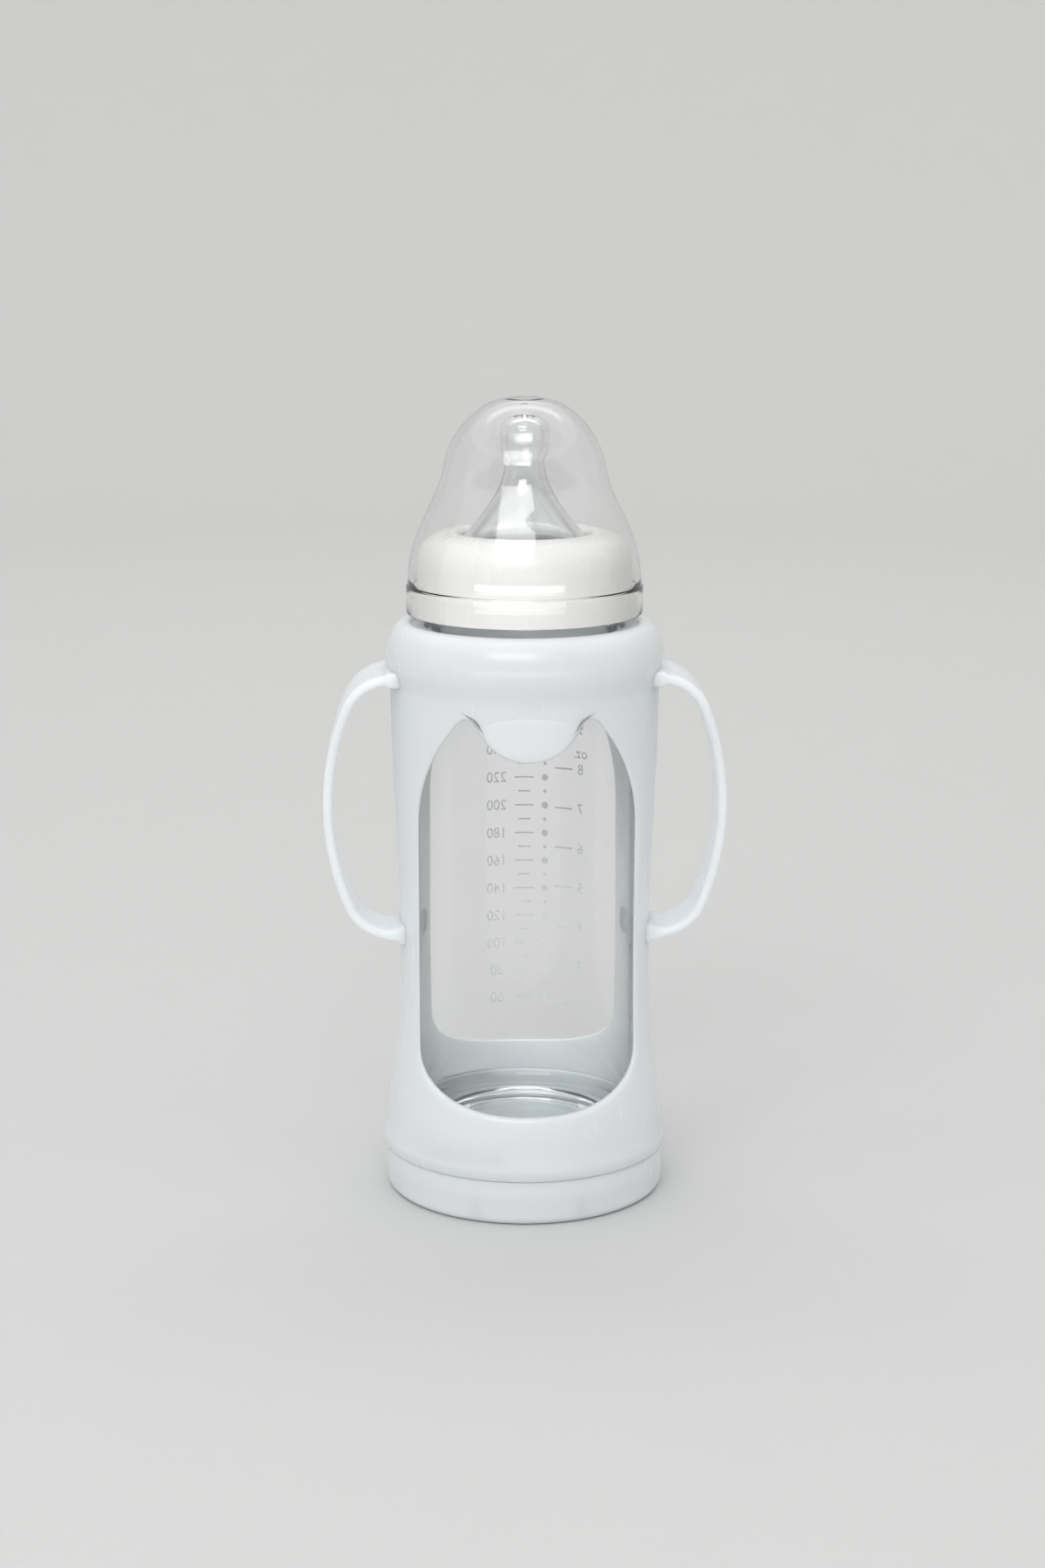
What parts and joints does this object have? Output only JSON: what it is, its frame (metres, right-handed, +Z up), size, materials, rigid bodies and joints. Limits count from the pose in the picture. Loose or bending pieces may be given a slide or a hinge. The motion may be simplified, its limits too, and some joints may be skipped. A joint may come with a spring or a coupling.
{
  "type": "baby bottle",
  "caption": "Glass feeding bottle in a windowed white sleeve with two side handles, twist-off base, teat, screw collar and clear dome cap.",
  "frame": {"origin": "centre of the base cap's underside, on the table", "axes": "+Z up along the bottle's axis; +X through one handle; +Y towards the back window"},
  "size_m": [0.1072, 0.077, 0.213],
  "materials": {
    "clear_cap": "clear moulded polypropylene, polished",
    "silicone": "translucent silicone, smooth",
    "collar_plastic": "warm white moulded plastic, soft gloss",
    "bottle_glass": "clear borosilicate glass",
    "sleeve_plastic": "cool white moulded plastic, glossy"
  },
  "bodies": {
    "bottle": {"protective_sleeve": "sleeve_plastic", "left_handle": "sleeve_plastic", "right_handle": "sleeve_plastic", "glass_bottle": "bottle_glass"},
    "base": {"base_cap": "sleeve_plastic"},
    "teat_seat": {"teat": "silicone"},
    "collar": {"screw_collar": "collar_plastic"},
    "cap": {"dome_cap": "clear_cap"}
  },
  "joints": [
    {"name": "base_twist", "type": "hinge", "parent": "bottle", "child": "base", "pos_m": [0, 0, 0.0122], "axis": [0, 0, -1], "range_deg": [0, 40]},
    {"name": "teat_rise", "type": "slide", "parent": "bottle", "child": "teat_seat", "axis": [0, 0, 1], "range_m": [0, 0.0085]},
    {"name": "collar_turn", "type": "hinge", "parent": "teat_seat", "child": "collar", "pos_m": [0, 0, 0.166], "axis": [0, 0, 1], "range_deg": [0, 600]},
    {"name": "cap_lift", "type": "slide", "parent": "collar", "child": "cap", "axis": [0, 0, 1], "range_m": [0, 0.062]}
  ],
  "couplings": [
    {"joint": "teat_rise", "follows": "collar_turn", "m_per_rad": 0.00079577}
  ]
}
